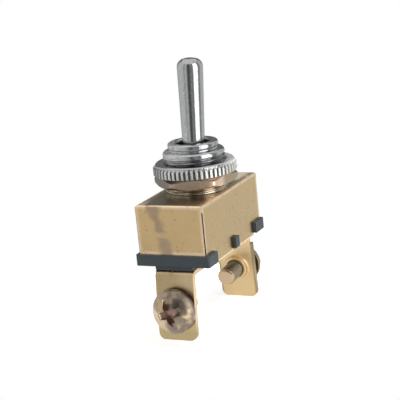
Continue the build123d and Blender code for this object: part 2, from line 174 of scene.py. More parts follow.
def leaned(points):
    """Turn upright lever points to the resting lean, THROW about Y at the pivot."""
    c, s = cos(THROW), sin(THROW)
    turn = np.array([[c, 0, s], [0, 1, 0], [-s, 0, c]])
    return points @ turn.T + PIVOT


def smooth(x, lo, hi):
    """Eased step from 0 at lo to 1 at hi."""
    t = np.clip((x - lo) / (hi - lo), 0, 1)
    return t * t * (3 - 2 * t)


def screw_groove(z, a, pitch, depth):
    """Depth of a rounded V thread: a triangle wave of height minus the turn, eased at its crest."""
    phase = (z / pitch - a / TAU) % 1.0
    tri = 1 - np.abs(2 * phase - 1)
    return depth * smooth(tri, 0.12, 0.95)


# The bushing: neck, thread, domed shoulder, groove and rim.

def bushing_piece():
    """Profile turned round Z. Radius = profile minus the thread groove, faded at both thread ends."""
    bore = BALL_R + BALL_GAP
    foot, spigot, foot_z, step_z = 5.48, 5.13, -1.5, -0.82
    edge, shoulder, lip, roll = 0.15, 0.8, 0.5, 0.62
    outer = chain([(bore, foot_z), (foot, foot_z), (foot, step_z), (spigot, step_z),
                   (spigot, 0.0), (5.75, 0.0)],
                  arc(THREAD_R - edge, edge, edge, -90, 0, 4), [(THREAD_R, SHOULDER_Z)],
                  arc(THREAD_R - shoulder, SHOULDER_Z, shoulder, 0, 62, 12),
                  [(5.02, 7.8), (4.62, 7.84), (4.58, 8.04)],
                  arc(4.44, 8.5, 0.4, -40, 0, 5), arc(4.34, RIM_Z - lip, lip, 0, 90, 10),
                  [(4.0, RIM_Z)], arc(RIM_HOLE_R + roll, RIM_Z - roll, roll, 80, 180, 12)[1:],
                  [(RIM_HOLE_R, 7.43)], arc(0, PIVOT[2], bore, 38, 0, 12), [(bore, 2.0)])
    prof = polished(outer, 0.09)
    depth = 0.42

    def threaded(r, z, a):
        fade = 1 - smooth(z, SHOULDER_Z - 0.25, SHOULDER_Z + 0.05)
        cut = smooth(z, 0.1, 0.5) * fade * (r > THREAD_R - 0.05)
        return r - cut * screw_groove(z, a, THREAD_PITCH, depth)

    return solid_from_grid("bushing_turned", spun(prof, 192, threaded), wrap_rows=True)


def knurled_nut_piece():
    """Ring with straight teeth. Radius = the lesser of the profile and a rounded square wave of
    the angle, so the profile's chamfers run the teeth out at the lower edge and under the crown."""
    z0, z1 = NUT_SEAT, NUT_TOP
    ease, crown, per_tooth = 0.04, 0.6, 14
    prof = chain([(NUT_HOLE_R, z0 + 0.1), (THREAD_R, z0), (7.45, z0)],
                 arc(7.46, z0 + 0.12, 0.12, -90, -30, 4),
                 [(CREST_R - ease, z0 + 0.24), (CREST_R, z0 + 0.32),
                  (CREST_R, z1 - 0.84), (CREST_R - ease, z1 - 0.74)],
                 arc(7.08, z1 - crown, crown, 18, 84, 9),
                 [(6.55, z1), (6.3, z1 - 0.03), (THREAD_R, z1 - 0.3), (NUT_HOLE_R, z1 - 0.4)])
    prof = polished(prof, 0.10)

    def toothed(r, z, a):
        wave = 0.5 + 0.5 * np.cos(a * KNURL_TEETH)
        limit = ROOT_R + (CREST_R - ROOT_R) * smooth(wave, 0.22, 0.66)
        return np.where(r > 7.3, np.minimum(r, limit), r)

    grid = spun(prof, KNURL_TEETH * per_tooth, toothed)
    return solid_from_grid("knurled_nut_rolled", grid, wrap_rows=True, crease=50)


def hex_nut_piece():
    """Ring whose outer radius follows a hexagon: half the flats' width over the cosine of the angle
    from the nearest flat, with rounded corners, cut by a rounded chamfer at each face."""
    z0, z1 = HEX_LOW, NUT_SEAT
    corner = HEX_HALF / cos(pi / 6)
    face, round_low, round_high, mouth = HEX_HALF - 0.35, 0.9, 0.7, 0.15
    blunt, regain = 0.2, 0.01
    prof = chain([(NUT_HOLE_R, z0 + mouth), (THREAD_R, z0), (face, z0)],
                 arc(face, z0 + round_low, round_low, -90, -38, 8)[1:],
                 [(corner, z0 + 0.86), (corner, z1 - 0.66)],
                 arc(face, z1 - round_high, round_high, 38, 90, 8),
                 [(THREAD_R, z1), (NUT_HOLE_R, z1 - mouth)])
    prof = polished(prof, 0.10)

    def six_sided(r, z, a):
        from_flat = (a - HEX_TURN) % (pi / 3) - pi / 6
        flat = HEX_HALF / np.cos(from_flat)
        limit = regain - blunt * np.log(np.exp(-flat / blunt) + np.exp(-(corner - blunt) / blunt))
        return np.where(r > 6.6, np.minimum(r, limit), r)

    return solid_from_grid("hex_nut_cut", spun(prof, 360, six_sided), wrap_rows=True, crease=40)


def lever_piece():
    """Profile of the tail bore, tail, ball, bat and flattened crown, turned round and leaned."""
    neck, tail, bore, tail_end, tip = 2.12, 2.1, 1.45, -6.6, 19.98
    bat, shoulder, crown, ease = 2.5, 1.55, 4.6, 0.1
    a_low = -np.degrees(np.arccos(tail / BALL_R))
    a_high = np.degrees(np.arccos(neck / BALL_R))
    prof = chain([(bore, -bore), (bore, tail_end + ease), (bore + ease, tail_end),
                  (tail - ease, tail_end), (tail, tail_end + ease)],
                 arc(0, 0, BALL_R, a_low, a_high, 44),
                 [(2.18, 5.2), (bat, tip - 2.0)],
                 arc(bat - shoulder, tip - 1.75, shoulder, 4, 60, 14),
                 arc(0.0, tip - crown, crown, 69, 88, 8))
    grid = spun(polished(prof, 0.35), 128)
    grid = leaned(grid.reshape(-1, 3)).reshape(grid.shape)
    bore_top, crown_top = leaned(np.array([[0, 0, -bore], [0, 0, tip]]))
    return solid_from_grid("lever_bat", grid, start_pole=bore_top, end_pole=crown_top)


def screw_points(turn, reach):
    """Binding-head screw on its own axis, head towards +Z, underside of the head at z = 0 and the
    shank reaching down to -reach.

    The head's top is a dome less a recess: the deeper of a cross with sloped arms and a straight
    slot, each eased over a tenth of a millimetre. The shank carries a rounded V thread.
    """
    n = 256
    head_r, head_h, rim, shank, tip, thread_depth = 4.2, 3.1, 0.9, 1.75, 0.35, 0.36
    cross_depth, slot_depth, core_depth = 1.6, 1.1, 0.25
    domed = head_h - rim
    crown = (head_r ** 2 + domed ** 2) / (2 * domed)
    a = np.linspace(0, TAU, n, endpoint=False)
    rho = np.linspace(0.06, head_r - 0.12, 62)
    rr, aa = np.meshgrid(rho, a, indexing="ij")
    dome = head_h - crown + np.sqrt(crown ** 2 - rr ** 2)
    x = rr * np.cos(aa - turn)
    y = rr * np.sin(aa - turn)

    def arm(u, v):
        half_w = 0.66 - 0.06 * np.abs(u)
        across = 1 - smooth(np.abs(v), half_w - 0.08, half_w + 0.14)
        along = 1 - smooth(np.abs(u), 1.35, 2.35)
        return across * along

    cross = np.maximum(arm(x, y), arm(y, x)) * cross_depth
    slot = (1 - smooth(np.abs(y), 0.38, 0.6)) * np.maximum(0.0, dome - (head_h - slot_depth))
    core = (1 - smooth(rr, 0.5, 1.6)) * core_depth
    top = dome - np.maximum(np.maximum(cross, slot), core)
    head = np.stack([rr * np.cos(aa), rr * np.sin(aa), top], axis=-1)
    side = polished(chain(arc(head_r - 0.16, rim - 0.12, 0.16, 60, 0, 4),
                          arc(head_r - 0.14, 0.14, 0.14, 0, -90, 4),
                          [(shank + 0.12, 0.0), (shank, -0.1), (shank, tip - reach),
                           (shank - tip, -reach), (0.4, -reach)]), 0.055)
    side_grid = spun(side, n)
    r = np.hypot(side_grid[..., 0], side_grid[..., 1])
    z = side_grid[..., 2]
    ang = np.repeat(a[None, :], len(side), axis=0)
    cut = (1 - smooth(z, -2.2, -0.9)) * smooth(z, 0.02 - reach, 0.2 - reach) * (r > 1.38)
    r = r - cut * screw_groove(z, ang, THREAD_PITCH, thread_depth)
    side_grid = np.stack([r * np.cos(ang), r * np.sin(ang), z], axis=-1)
    grid = np.concatenate([head, side_grid], axis=0)[::-1]
    sunk = np.concatenate([dome - top, 0 * r], axis=0)[::-1]
    return grid, sunk, np.array([0, 0, -reach]), np.array([0, 0, head_h - cross_depth])


def seated(points, x, z, flip):
    """Screw points to their seat: local Z becomes the terminal's outward normal."""
    c, s = cos(SPLAY), sin(SPLAY)
    out = np.array([c, 0, s])
    across = np.array([0, 1, 0])
    up = np.cross(out, across)
    base = np.stack([-up, across, out], axis=1)
    pts = np.asarray(points, float).reshape(-1, 3) @ base.T + np.array([x, 0, z])
    return pts * np.array([-1, -1, 1]) if flip else pts


def screw_piece(name, seat, backed_off, reach):
    """Screw turned out of its leg by backed_off; reach is how far the shank passes the leg. Its
    attribute "recess" is one in the depth of the cross and slot."""
    grid, sunk, end, recess = screw_points(SCREW_TURN, backed_off + LEG_T + reach)
    out = np.array([0, 0, backed_off])
    verts = seated(grid + out, *seat).reshape(grid.shape)
    obj = solid_from_grid(name, verts, start_pole=seated(end + out, *seat)[0],
                          end_pole=seated(recess + out, *seat)[0], crease=44)
    mask = obj.data.attributes.new("recess", "FLOAT", "POINT")
    values = np.concatenate([smooth(sunk.reshape(-1), 0.1, 0.7), [0.0, 1.0]])
    mask.data.foreach_set("value", values.astype(np.float32))
    return obj


def collar_piece(name, seat):
    """Extruded collar on the leg's inner face: the profile of its bore, rounded lip and flared root,
    turned round the screw's axis."""
    bore, outer, buried, lip_in, lip_out, flare = 1.8, 2.45, -0.5, 0.15, 0.25, 0.5
    prof = chain([(bore, buried), (bore, -2.1)], arc(bore + lip_in, -2.05, lip_in, 180, 270, 4),
                 arc(outer - lip_out, -1.95, lip_out, -90, 0, 5), [(outer, -1.65)],
                 arc(outer + flare, -1.5, flare, 180, 90, 9), [(outer + flare, buried)])
    grid = spun(polished(prof, 0.12), 96)
    return solid_from_grid(name, seated(grid, *seat).reshape(grid.shape), wrap_rows=True)


def rounded_box_ring(half_w, half_t, r, steps=4):
    """Closed outline of a rounded rectangle, counter-clockwise, with points beside each corner so
    that the flats shade flat. Widths and thicknesses may be arrays: one outline per station."""
    corners = []
    quarter = np.linspace(0, pi / 2, steps + 1)
    for k, (sx, sy) in enumerate(((1, 1), (-1, 1), (-1, -1), (1, -1))):
        ang = quarter + k * pi / 2
        u = sx * (half_w[:, None] - r[:, None]) + r[:, None] * np.cos(ang)
        v = sy * (half_t[:, None] - r[:, None]) + r[:, None] * np.sin(ang)
        corners.append(np.stack([u, v], axis=-1))
    ring = np.concatenate(corners, axis=1)
    per = steps + 1
    parts = []
    for k in range(4):
        here = ring[:, k * per:(k + 1) * per]
        nxt = ring[:, ((k + 1) % 4) * per][:, None]
        last = here[:, -1:]
        span = nxt - last
        gap = np.maximum(np.linalg.norm(span, axis=-1, keepdims=True), 1e-6)
        step = np.minimum(0.06 / gap, 0.3)
        parts += [here, last + span * step, nxt - span * step]
    return np.concatenate(parts, axis=1)


def strip_piece(name, outer_x, bottom, neck_half, neck_z, flip):
    """Bent terminal strip: a rounded rectangle swept along the bend line. Stations run by arc
    length; half width = a quarter circle at the ends, and the neck's width above the shoulder."""
    start_x, lead_in, edge, corner_in, corner_low = 6.4, 1.15, 0.1, 0.9, 1.35
    bend_r = LEG_BEND + LEG_T / 2
    cx = outer_x - LEG_BEND - LEG_T
    top = -PAD_BOTTOM - LEG_T / 2
    turn = pi / 2 - SPLAY
    flat_len = cx - start_x
    bend_len = bend_r * turn
    exit_z = top - bend_r + bend_r * sin(SPLAY)
    leg_len = (exit_z + bottom) / cos(SPLAY)
    total = flat_len + bend_len + leg_len
    quarter = np.linspace(0, pi / 2, 14)
    ends = np.concatenate([np.linspace(0, edge, 5), edge + (corner_low - edge) * (1 - np.cos(quarter))[1:]])
    neck_s = flat_len + bend_len + (exit_z + neck_z) / cos(SPLAY)
    middle = [np.linspace(ends[-1], flat_len - 0.05, 8)[1:], np.linspace(flat_len, flat_len + bend_len, 15),
              np.linspace(flat_len + bend_len + 0.05, total - ends[-1], 24)]
    if neck_half < LEG_HALF:
        middle.append(neck_s + np.linspace(-0.06, 0.06, 5))
        middle.append(flat_len - lead_in + np.linspace(-0.06, 0.06, 5))
    s = np.unique(np.round(np.concatenate([ends, total - ends] + middle), 5))
    bent = np.clip((s - flat_len) / bend_r, 0, turn)
    along = np.clip(s - flat_len - bend_len, 0, None)
    x = start_x + np.clip(s, 0, flat_len) + bend_r * np.sin(bent) + along * sin(SPLAY)
    z = top - bend_r * (1 - np.cos(bent)) - along * cos(SPLAY)
    normal = np.stack([np.sin(bent), np.zeros_like(s), np.cos(bent)], axis=1)
    neck_start = flat_len - lead_in
    neck = smooth(s, neck_start - 0.03, neck_start + 0.03) * (1 - smooth(s, neck_s - 0.03, neck_s + 0.03))
    half_w = LEG_HALF - (LEG_HALF - neck_half) * neck
    for near, corner in ((s, corner_in), (total - s, corner_low)):
        t = np.clip(corner - near, 0, corner)
        half_w = half_w - corner + np.sqrt(corner ** 2 - t ** 2)
    near = np.clip(edge - np.minimum(s, total - s), 0, edge)
    half_t = LEG_T / 2 - edge + np.sqrt(edge ** 2 - near ** 2)
    ring = rounded_box_ring(half_w, half_t, np.minimum(edge, half_t * 0.98))
    centre = np.stack([x, np.zeros_like(s), z], axis=1)
    grid = centre[:, None] + ring[..., :1] * np.array([0, 1.0, 0]) + ring[..., 1:] * normal[:, None]
    ends_at = centre[[0, -1]]
    if flip:
        grid = grid * np.array([-1, -1, 1])
        ends_at = ends_at * np.array([-1, -1, 1])
    return solid_from_grid(name, grid, start_pole=ends_at[0], end_pole=ends_at[1], crease=35)


# Materials. Groups hold the effects that several finishes share.

def link(tree, a, b):
    tree.links.new(a, b)


def feed(tree, socket, value):
    """Give an input a number, a colour or the output of another node."""
    if isinstance(value, (int, float)):
        socket.default_value = value
    elif isinstance(value, tuple):
        socket.default_value = (*value, 1.0)
    else:
        link(tree, value, socket)


def node(tree, kind, **values):
    """New node; each value is a setting of the node or, failing that, of its input of that name."""
    n = tree.nodes.new(kind)
    for key, value in values.items():
        if hasattr(n, key):
            setattr(n, key, value)
        else:
            n.inputs[key.replace("_", " ")].default_value = value
    return n


def combine(tree, operation, a, b=0.0):
    """One operation on two sockets or numbers."""
    n = node(tree, "ShaderNodeMath", operation=operation)
    feed(tree, n.inputs[0], a)
    feed(tree, n.inputs[1], b)
    return n.outputs[0]


def product(tree, *values):
    """All the values multiplied together."""
    out = values[0]
    for value in values[1:]:
        out = combine(tree, "MULTIPLY", out, value)
    return out


def largest(tree, *values):
    """The greatest of the values."""
    out = values[0]
    for value in values[1:]:
        out = combine(tree, "MAXIMUM", out, value)
    return out


def reversed_mask(tree, mask):
    """One less the mask."""
    return combine(tree, "SUBTRACT", 1.0, mask)


def rise(tree, value, low, high, amount=1.0):
    """Soft step from 0 at low to the amount at high; low may be the greater."""
    edge = node(tree, "ShaderNodeMapRange", interpolation_type="SMOOTHSTEP")
    for name, given in (("Value", value), ("From Min", low), ("From Max", high), ("To Max", amount)):
        feed(tree, edge.inputs[name], given)
    return edge.outputs["Result"]


def between(tree, value, low, high, start=0.0, stop=1.0):
    """Straight ramp from start at low to stop at high."""
    ramp = node(tree, "ShaderNodeMapRange", From_Min=low, From_Max=high, To_Min=start, To_Max=stop)
    link(tree, value, ramp.inputs["Value"])
    return ramp.outputs["Result"]


def noise(tree, vector, **values):
    """Noise node at the given coordinates."""
    n = node(tree, "ShaderNodeTexNoise", **values)
    link(tree, vector, n.inputs["Vector"])
    return n


def object_vector(tree):
    return tree.nodes.new("ShaderNodeTexCoord").outputs["Object"]


def split_axes(tree, vector):
    split = tree.nodes.new("ShaderNodeSeparateXYZ")
    link(tree, vector, split.inputs[0])
    return split.outputs


def effect_group(name, inputs, outputs):
    """Empty node group with a Vector input, the named number inputs and the named number outputs."""
    tree = bpy.data.node_groups.new(name, "ShaderNodeTree")
    tree.interface.new_socket("Vector", in_out="INPUT", socket_type="NodeSocketVector")
    for label, value in inputs:
        socket = tree.interface.new_socket(label, in_out="INPUT", socket_type="NodeSocketFloat")
        socket.default_value = value
    for label in outputs:
        tree.interface.new_socket(label, in_out="OUTPUT", socket_type="NodeSocketFloat")
    return tree, tree.nodes.new("NodeGroupInput").outputs, tree.nodes.new("NodeGroupOutput").inputs


def handling_marks():
    """Soft stains and finger smudges: one cloudy noise, thresholded softly."""
    tree, given, result = effect_group("handling_marks", (("Size", 1.0), ("Cover", 0.5)), ("Mask", "Cloud"))
    clouds_per_metre, softness = 260.0, 0.16
    big = noise(tree, given["Vector"], Detail=3.0, Roughness=0.55)
    link(tree, combine(tree, "MULTIPLY", given["Size"], clouds_per_metre), big.inputs["Scale"])
    low = reversed_mask(tree, given["Cover"])
    edge = rise(tree, big.outputs["Fac"], low, combine(tree, "ADD", low, softness))
    link(tree, edge, result["Mask"])
    link(tree, big.outputs["Fac"], result["Cloud"])
    return tree


def hair_scratches():
    """Fine scratches: noise stretched along one direction, kept only at its peaks."""
    tree, given, result = effect_group("hair_scratches", (("Density", 1.0),), ("Lines", "Height"))
    turn = node(tree, "ShaderNodeMapping", vector_type="POINT", Rotation=(0.3, 0.5, 0.7),
                Scale=(60.0, 2600.0, 900.0))
    link(tree, given["Vector"], turn.inputs["Vector"])
    hair = noise(tree, turn.outputs["Vector"], Detail=2.0, Scale=1.0)
    peak = between(tree, hair.outputs["Fac"], 0.62, 0.78)
    link(tree, product(tree, peak, given["Density"]), result["Lines"])
    link(tree, hair.outputs["Fac"], result["Height"])
    return tree


def place_zones():
    """Masks by place on the part: Above rises with height from Low to High, Outside rises with the
    distance from the Z axis from Inner to Outer. All are metres."""
    tree, given, result = effect_group(
        "place_zones", (("Low", 0.0), ("High", 0.001), ("Inner", 0.0), ("Outer", 0.001)),
        ("Above", "Outside"))
    flat = node(tree, "ShaderNodeVectorMath", operation="MULTIPLY")
    flat.inputs[1].default_value = (1.0, 1.0, 0.0)
    link(tree, given["Vector"], flat.inputs[0])
    away = node(tree, "ShaderNodeVectorMath", operation="LENGTH")
    link(tree, flat.outputs[0], away.inputs[0])
    height = split_axes(tree, given["Vector"])["Z"]
    link(tree, rise(tree, height, given["Low"], given["High"]), result["Above"])
    link(tree, rise(tree, away.outputs["Value"], given["Inner"], given["Outer"]), result["Outside"])
    return tree


def noise_patches():
    """Scattered patches or specks: noise of the given Size, eased from 0 at Low to Amount at High."""
    tree, given, result = effect_group(
        "noise_patches", (("Size", 400.0), ("Low", 0.4), ("High", 0.6), ("Amount", 1.0)), ("Mask",))
    dots = noise(tree, given["Vector"], Detail=2.0, Roughness=0.6)
    link(tree, given["Size"], dots.inputs["Scale"])
    mask = rise(tree, dots.outputs["Fac"], given["Low"], given["High"], given["Amount"])
    link(tree, mask, result["Mask"])
    return tree


MARKS = handling_marks()
PATCHES = noise_patches()
HAIRS = hair_scratches()
ZONES = place_zones()


def use_group(tree, group, vector, **values):
    """Outputs of a group laid over the part at the given coordinates."""
    n = tree.nodes.new("ShaderNodeGroup")
    n.node_tree = group
    link(tree, vector, n.inputs["Vector"])
    for key, value in values.items():
        n.inputs[key].default_value = value
    return n.outputs


def blend_colour(tree, fac, a, b):
    """Mix of two colours; a and b are sockets or plain colours."""
    mix = node(tree, "ShaderNodeMix", data_type="RGBA")
    for socket, value in ((mix.inputs["Factor"], fac), (mix.inputs[6], a), (mix.inputs[7], b)):
        feed(tree, socket, value)
    return mix.outputs[2]


def blend_value(tree, fac, a, b):
    """Mix of two numbers."""
    mix = node(tree, "ShaderNodeMix", data_type="FLOAT")
    for socket, value in ((mix.inputs["Factor"], fac), (mix.inputs[2], a), (mix.inputs[3], b)):
        feed(tree, socket, value)
    return mix.outputs[0]


def bumped(tree, height, strength, distance, under=None):
    """Normal of a height mask of the given depth in metres, over the normal under it if there is one."""
    bump = node(tree, "ShaderNodeBump", Strength=strength, Distance=distance)
    link(tree, height, bump.inputs["Height"])
    if under is not None:
        link(tree, under, bump.inputs["Normal"])
    return bump.outputs["Normal"]


def plain_material(name):
    """New material with its tree and the inputs of its shader."""
    mat = bpy.data.materials.new(name)
    mat.use_nodes = True
    return mat, mat.node_tree, mat.node_tree.nodes["Principled BSDF"].inputs


def metal_finish(name, colour, dull, rough, rough_marks, cover=0.42, size=1.0, hairs=0.4, dent=0.05,
                 bump=0.25, zones=()):
    """Plated or bright metal: the colour shifts towards dull in the marks, which are also rougher.

    zones is a list of (mask function, colour, roughness) laid over it in turn.
    """
    mat, tree, shader = plain_material(name)
    hair_gleam, hair_rough, waves_per_metre, wave_depth, hair_depth = 1.12, 0.22, 330.0, 0.0004, 0.00002
    shader["Metallic"].default_value = 1.0
    vector = object_vector(tree)
    marks = use_group(tree, MARKS, vector, Size=size, Cover=cover)
    hair = use_group(tree, HAIRS, vector, Density=hairs)
    gleam = tuple(min(1.0, c * hair_gleam) for c in colour)
    tint = blend_colour(tree, hair["Lines"], blend_colour(tree, marks["Mask"], colour, dull), gleam)
    level = combine(tree, "ADD", between(tree, marks["Mask"], 0.0, 1.0, rough, rough_marks),
                    product(tree, hair["Lines"], hair_rough))
    for mask_of, zone_colour, zone_rough in zones:
        mask = mask_of(tree, vector)
        tint = blend_colour(tree, mask, tint, zone_colour)
        level = blend_value(tree, mask, level, zone_rough)
    link(tree, tint, shader["Base Color"])
    link(tree, level, shader["Roughness"])
    wave = noise(tree, vector, Scale=waves_per_metre, Detail=2.0)
    soft = bumped(tree, wave.outputs["Fac"], dent, wave_depth)
    link(tree, bumped(tree, hair["Height"], bump, hair_depth, soft), shader["Normal"])
    return mat


def moulded_finish(name, colour, pale, rough, grain, bump=0.3, specular=0.5):
    """Moulded or fibre material: cloudy colour, fine grain in height and roughness."""
    mat, tree, shader = plain_material(name)
    grain_depth = 0.00006
    shader["Specular IOR Level"].default_value = specular
    vector = object_vector(tree)
    marks = use_group(tree, MARKS, vector, Size=1.3, Cover=0.46)
    hair = use_group(tree, HAIRS, vector, Density=0.6)
    cloud = blend_colour(tree, marks["Cloud"], colour, pale)
    link(tree, blend_colour(tree, hair["Lines"], cloud, pale), shader["Base Color"])
    speck = noise(tree, vector, Scale=grain, Detail=3.0).outputs["Fac"]
    link(tree, between(tree, speck, 0.0, 1.0, rough - 0.08, rough + 0.12), shader["Roughness"])
    link(tree, bumped(tree, speck, bump, grain_depth), shader["Normal"])
    return mat


# Masks: where each stain, worn edge, duller finish, painted shade or painted light lies on the part.
# They read Object coordinates, turned into millimetres, with heights from the housing's top face.

def coordinate(tree, vector, axis):
    """One coordinate in millimetres."""
    mm = combine(tree, "MULTIPLY", split_axes(tree, vector)[axis], 1000.0)
    return combine(tree, "ADD", mm, ORIGIN_Z) if axis == "Z" else mm


def beyond(tree, vector, axis, low, high):
    """Soft step along one axis, from 0 at low to 1 at high."""
    return rise(tree, coordinate(tree, vector, axis), low, high)


def from_middle(tree, vector, axis):
    """Distance from the part's middle plane across one axis."""
    return combine(tree, "ABSOLUTE", coordinate(tree, vector, axis))


def zone_masks(tree, vector, low=0.0, high=1.0, inner=0.0, outer=1.0):
    """Outputs Above and Outside of place_zones."""
    return use_group(tree, ZONES, vector, Low=(low - ORIGIN_Z) / 1000, High=(high - ORIGIN_Z) / 1000,
                     Inner=inner / 1000, Outer=outer / 1000)


def patches(tree, vector, size, low, high, amount=1.0):
    """Mask of noise_patches."""
    return use_group(tree, PATCHES, vector, Size=size, Low=low, High=high, Amount=amount)["Mask"]


def below(z_low, z_high):
    """Mask that is one under z_low and fades out by z_high."""
    def mask(tree, vector):
        return reversed_mask(tree, zone_masks(tree, vector, low=z_low, high=z_high)["Above"])
    return mask


def specks(size, low, high, amount):
    """Small scattered stains."""
    def mask(tree, vector):
        return patches(tree, vector, size, low, high, amount)
    return mask


def thread_painted_shade(tree, vector):
    """Painted shade in the thread: strongest over the nut, gone by the shoulder."""
    return product(tree, below(NUT_TOP + 0.4, SHOULDER_Z + 0.1)(tree, vector), 0.7)


def plate_cloud_and_sheen(tree, vector):
    """Clouded plating with painted sheen on the +Y and -X flank of the bushing, above the nut: lighter,
    rougher patches on that flank only.
    """
    flank = combine(tree, "SUBTRACT", coordinate(tree, vector, "Y"), coordinate(tree, vector, "X"))
    cover = product(tree, patches(tree, vector, 620.0, 0.30, 0.48),
                    beyond(tree, vector, "Z", NUT_TOP + 0.1, NUT_TOP + 0.9))
    return product(tree, rise(tree, flank, 1.5, 5.0), cover, 0.85)


def socket_painted_shade(tree, vector):
    """Painted shade inside the socket: near the axis, below the rim's top."""
    zone = zone_masks(tree, vector, RIM_Z - 0.23, RIM_Z + 0.02, RIM_HOLE_R - 0.1, RIM_HOLE_R + 0.3)
    return product(tree, reversed_mask(tree, zone["Above"]), reversed_mask(tree, zone["Outside"]))


def ball_painted_shade(tree, vector):
    """Painted shade on the ball: near the pivot."""
    away = node(tree, "ShaderNodeVectorMath", operation="DISTANCE")
    link(tree, vector, away.inputs[0])
    away.inputs[1].default_value = (0.0, 0.0, (PIVOT[2] - ORIGIN_Z) / 1000)
    grease = rise(tree, away.outputs["Value"], (BALL_R + 0.02) / 1000, (BALL_R + 0.6) / 1000)
    return reversed_mask(tree, grease)


def knurl_band(tree, vector):
    """The toothed band of the face nut."""
    zone = zone_masks(tree, vector, NUT_TOP - 0.8, NUT_TOP - 0.6, 7.3, 7.5)
    return product(tree, reversed_mask(tree, zone["Above"]), zone["Outside"])


def tooth_painted_shade(tree, vector):
    """Painted shade between the teeth: inside their crests and under the crown."""
    gap = zone_masks(tree, vector, inner=ROOT_R + 0.06, outer=CREST_R - 0.14)
    return product(tree, knurl_band(tree, vector), reversed_mask(tree, gap["Outside"]), 0.85)


def knurl_left_painted_shade(tree, vector):
    """Painted shade on the teeth of the face nut on its +Y side."""
    return product(tree, knurl_band(tree, vector), beyond(tree, vector, "Y", 0.8, 5.5))


def crown_painted_sheen(tree, vector):
    """Painted sheen on the +X and -Y part of the face nut's crown, lighter and rougher there."""
    flank = combine(tree, "SUBTRACT", coordinate(tree, vector, "X"), coordinate(tree, vector, "Y"))
    return rise(tree, flank, 3.0, 7.5)


def hex_left_painted_shade(tree, vector):
    """Painted shade on the +Y facets of the hex nut."""
    return product(tree, beyond(tree, vector, "Y", -0.5, 3.0), 0.95)


def hex_right_painted_shade(tree, vector):
    """Painted shade on the facets towards +X: darker and browner."""
    return beyond(tree, vector, "X", -3.2, -1.6)


def top_face(tree, vector):
    """The top face of the housing, up to its folds."""
    return beyond(tree, vector, "Z", -0.16, -0.03)


def top_painted_highlight(tree, vector):
    """Painted highlight on the far part and near +Y corner of the top face."""
    far = beyond(tree, vector, "X", 3.5, 8.5)
    corner = product(tree, beyond(tree, vector, "X", -8.6, -11.0), beyond(tree, vector, "Y", 4.4, 6.0))
    return product(tree, top_face(tree, vector), largest(tree, far, corner))


def end_face(tree, vector):
    """Warmer, more worn patches on the two ends of the folded box."""
    ends = rise(tree, from_middle(tree, vector, "X"), HOUSING_END - 0.4, HOUSING_END - 0.1)
    cover = product(tree, patches(tree, vector, 170.0, 0.32, 0.6), 0.65)
    return product(tree, ends, combine(tree, "ADD", cover, 0.3))


def folds_worn_and_highlit(tree, vector):
    """Burnished edges of the folded box, partly worn metal and partly painted highlight: close to two of its
    faces at a time, and along its lower edge."""
    sides = from_middle(tree, vector, "Y")
    near_end = rise(tree, from_middle(tree, vector, "X"), HOUSING_END - 1.0, HOUSING_END - 0.3)
    near_side = rise(tree, sides, HOUSING_SIDE - 0.9, HOUSING_SIDE - 0.3)
    top_side = rise(tree, sides, HOUSING_SIDE - 1.9, HOUSING_SIDE - 0.5)
    near_top = beyond(tree, vector, "Z", -0.8, -0.3)
    low = beyond(tree, vector, "Z", HOUSING_LOW + 0.9, HOUSING_LOW + 0.35)
    edge = largest(tree, product(tree, near_end, near_side), product(tree, near_end, near_top),
                   product(tree, near_side, near_top), product(tree, low, near_end),
                   product(tree, top_side, top_face(tree, vector)))
    return product(tree, edge, patches(tree, vector, 420.0, 0.2, 0.5))


def rub_streak(tree, vector):
    """Rubbed streak down the near end of the housing: a soft line leaning across that face, broken
    once."""
    lean, foot, shake, break_z = 0.2, 3.0, 3.0, -5.6
    high = coordinate(tree, vector, "Z")
    wander = noise(tree, vector, Scale=420.0, Detail=2.0).outputs["Fac"]
    line = combine(tree, "ADD", product(tree, high, lean), foot)
    side = combine(tree, "SUBTRACT", coordinate(tree, vector, "Y"), line)
    shift = product(tree, combine(tree, "SUBTRACT", wander, 0.5), shake)
    off = combine(tree, "ABSOLUTE", combine(tree, "ADD", side, shift))
    gap = combine(tree, "ABSOLUTE", combine(tree, "SUBTRACT", high, break_z))
    near = beyond(tree, vector, "X", 0.3 - HOUSING_END, 0.05 - HOUSING_END)
    return product(tree, rise(tree, off, 1.7, 0.45), rise(tree, gap, 0.0, 0.9), near, 0.85)


def far_leg(tree, vector):
    """The far terminal with its screw."""
    return beyond(tree, vector, "X", 4.0, 5.0)


def near_leg(tree, vector):
    """The near terminal with its screw."""
    return reversed_mask(tree, far_leg(tree, vector))


def far_upper_painted_light(tree, vector):
    """Painted light on the upper half of the far leg."""
    return product(tree, far_leg(tree, vector), beyond(tree, vector, "Z", -20.5, -18.0))


def far_edges(tree, vector):
    """Darker band along the two long edges of the far leg."""
    return product(tree, rise(tree, from_middle(tree, vector, "Y"), 3.3, 3.8), far_leg(tree, vector))


def near_foot_painted_shade(tree, vector):
    """Painted shade towards the foot of the near leg."""
    return product(tree, below(-24.2, -20.5)(tree, vector), near_leg(tree, vector))


def near_side_painted_light(tree, vector):
    """Painted light on the -Y side of the near leg: paler there."""
    return product(tree, beyond(tree, vector, "Y", 0.5, -2.5), near_leg(tree, vector))


def recess_painted_shade(tree, vector):
    """Painted shade in the cross and slot of a screw, from the mesh's own attribute."""
    mask = node(tree, "ShaderNodeAttribute", attribute_name="recess")
    return product(tree, mask.outputs["Fac"], 0.92)


def near_screw_painted_shade(tree, vector):
    """Painted shade on the -Y half of the near screw, broken into mottled patches."""
    return product(tree, beyond(tree, vector, "Y", 1.3, 0.1), near_leg(tree, vector),
                   patches(tree, vector, 520.0, 0.22, 0.56))


def far_thread_painted_shade(tree, vector):
    """Painted shade on the thread of the far screw."""
    return product(tree, beyond(tree, vector, "X", 16.0, 15.0), far_leg(tree, vector))


